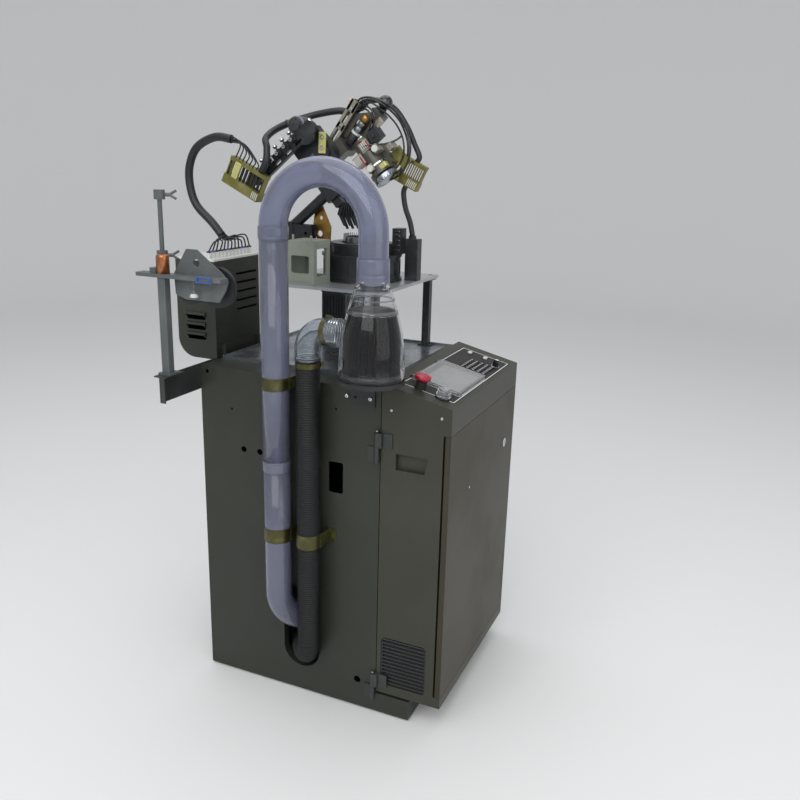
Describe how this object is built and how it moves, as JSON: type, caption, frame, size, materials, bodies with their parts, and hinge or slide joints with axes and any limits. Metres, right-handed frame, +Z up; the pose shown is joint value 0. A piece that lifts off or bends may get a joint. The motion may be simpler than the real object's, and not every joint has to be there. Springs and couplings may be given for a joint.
{
  "type": "sock knitting machine",
  "caption": "Floor-standing sock knitting machine: needle cylinder on a work table, tilted head, clear sock tube over a collector jar, and a swinging control cabinet.",
  "frame": {"origin": "on the floor under the centre of the machine's bounding box", "axes": "+Z up from the floor, +Y from the cabinet's front to the rear, +X to the right when facing the cabinet"},
  "size_m": [0.684, 0.8699, 1.5484],
  "materials": {
    "base_paint": "satin grey-green paint",
    "cabinet_paint": "satin grey-green paint",
    "door_paint": "satin olive paint",
    "dark_paint": "satin dark paint",
    "grey_paint": "satin grey paint",
    "cream_paint": "satin cream-green paint",
    "dark_castings": "dark semi-gloss casting",
    "grey_castings": "grey casting",
    "table_steel": "polished plate",
    "bright_metal": "bright plated",
    "clamp_steel": "yellow passivated",
    "brass": "worn brass",
    "clear_tube": "clear, slightly bluish",
    "clear_plastic": "clear lid",
    "screen_glass": "pale display",
    "hose_black": "matte black",
    "black_rubber": "matte black",
    "black_plastic": "matte black",
    "black_gloss": "glossy black",
    "white_plastic": "white",
    "red_plastic": "glossy red",
    "fabric_black": "pleated filter cloth"
  },
  "bodies": {
    "machine": {"base_body": "base_paint", "levelling_feet": "black_rubber", "oil_tray": "table_steel", "table_posts": "dark_castings", "work_table": "table_steel", "sock_tube_arch": "clear_tube", "sock_tube_leg": "clear_tube", "sock_tube_bend": "clear_tube", "pipe_clamps": "clamp_steel", "suction_hose": "hose_black", "jar_elbow": "clear_tube", "collector_jar": "clear_tube", "collector_filter": "fabric_black", "collector_base": "black_plastic", "take_down_hose": "hose_black", "down_pipe": "table_steel", "suction_fan": "dark_castings", "valve_box": "base_paint", "valve_fittings": "white_plastic", "valve_tubes": "hose_black", "conduits": "black_plastic", "support_arm": "dark_paint", "feeder_posts": "grey_paint", "feeder_plate": "grey_paint", "bracket_column": "cream_paint", "cam_box": "dark_castings", "guide_arm": "dark_castings", "servo_motor": "dark_castings", "drive_belt": "hose_black", "head_arm": "dark_castings", "head_casting": "dark_castings", "head_motor": "dark_castings", "front_castings": "grey_castings", "manifolds": "clamp_steel", "ball_handle": "black_gloss", "hinge_base_halves": "dark_paint"},
    "fan": {"fan_impeller": "bright_metal"},
    "drum_rear": {"feeder_drum_rear": "black_plastic"},
    "drum_front": {"feeder_drum_front": "black_plastic"},
    "cylinder": {"needle_cylinder": "table_steel", "needle_set": "bright_metal"},
    "motor_rotor": {"motor_pulley": "bright_metal"},
    "dial_body": {"dial": "table_steel"},
    "fingers": {"yarn_fingers": "dark_castings"},
    "lever": {"brass_lever": "brass"},
    "cabinet": {"cabinet_shell": "cabinet_paint", "hinge_cabinet_halves": "dark_paint", "air_filter": "black_plastic", "control_unit": "black_plastic", "console_panel": "black_plastic", "screen": "screen_glass", "keypad": "black_plastic"},
    "door": {"cabinet_door": "door_paint"},
    "lock": {"door_lock": "bright_metal"},
    "cover": {"screen_cover": "clear_plastic"},
    "start": {"start_button": "bright_metal"},
    "stop": {"stop_button": "bright_metal"},
    "estop": {"estop_button": "red_plastic"},
    "speed": {"speed_knob": "black_gloss"},
    "selector": {"selector_knob": "white_plastic"}
  },
  "joints": [
    {"name": "cabinet_swing", "type": "hinge", "parent": "machine", "child": "cabinet", "pos_m": [-0.192, -0.247, 0.4], "axis": [0, 0, -1], "range_deg": [0, 50]},
    {"name": "door_hinge", "type": "hinge", "parent": "cabinet", "child": "door", "pos_m": [-0.178, -0.424, 0.44], "axis": [0, 0, -1], "range_deg": [0, 105]},
    {"name": "lock_turn", "type": "hinge", "parent": "door", "child": "lock", "pos_m": [0.243, -0.431, 0.646], "axis": [0, -1, 0], "range_deg": [0, 90]},
    {"name": "cover_lift", "type": "hinge", "parent": "cabinet", "child": "cover", "pos_m": [0.009, -0.2849, 0.89138], "axis": [-1, 0, 0], "range_deg": [0, 110]},
    {"name": "start_press", "type": "slide", "parent": "cabinet", "child": "start", "axis": [0, 0.2284, -0.9736], "range_m": [0, 0.002], "stiffness_N_per_m": 900},
    {"name": "stop_press", "type": "slide", "parent": "cabinet", "child": "stop", "axis": [0, 0.2284, -0.9736], "range_m": [0, 0.002], "stiffness_N_per_m": 900},
    {"name": "estop_press", "type": "slide", "parent": "cabinet", "child": "estop", "axis": [0, 0.2284, -0.9736], "range_m": [0, 0.005], "stiffness_N_per_m": 1200},
    {"name": "speed_turn", "type": "hinge", "parent": "cabinet", "child": "speed", "pos_m": [0.235, -0.3979, 0.86076], "axis": [0, -0.2284, 0.9736], "range_deg": [0, 270]},
    {"name": "selector_turn", "type": "hinge", "parent": "cabinet", "child": "selector", "pos_m": [-0.135, -0.38719, 0.86328], "axis": [0, -0.2284, 0.9736], "range_deg": [-45, 45]},
    {"name": "cylinder_spin", "type": "hinge", "parent": "machine", "child": "cylinder", "pos_m": [0.145, -0.036, 1.1], "axis": [0, 0, 1], "continuous": true},
    {"name": "motor_spin", "type": "hinge", "parent": "machine", "child": "motor_rotor", "pos_m": [0.247, 0.084, 1.04], "axis": [0, 0, 1], "continuous": true},
    {"name": "dial_spin", "type": "hinge", "parent": "machine", "child": "dial_body", "pos_m": [0.145, -0.10007, 1.35083], "axis": [0, 0.6428, 0.766], "continuous": true},
    {"name": "fan_spin", "type": "hinge", "parent": "machine", "child": "fan", "pos_m": [-0.055, -0.00409, 0.12], "axis": [1, 0, 0], "continuous": true},
    {"name": "drum_rear_spin", "type": "hinge", "parent": "machine", "child": "drum_rear", "pos_m": [-0.281, 0.198, 1.088], "axis": [1, 0, 0], "continuous": true},
    {"name": "drum_front_spin", "type": "hinge", "parent": "machine", "child": "drum_front", "pos_m": [-0.265, 0.136, 1.093], "axis": [1, 0, 0], "continuous": true},
    {"name": "fingers_tilt", "type": "hinge", "parent": "machine", "child": "fingers", "pos_m": [0.14, 0.009, 1.284], "axis": [1, 0, 0], "range_deg": [-10, 10]},
    {"name": "lever_tilt", "type": "hinge", "parent": "machine", "child": "lever", "pos_m": [0.105, 0.05, 1.163], "axis": [1, 0, 0], "range_deg": [-15, 15]}
  ],
  "couplings": [
    {"joint": "motor_spin", "follows": "cylinder_spin", "ratio": 3}
  ]
}
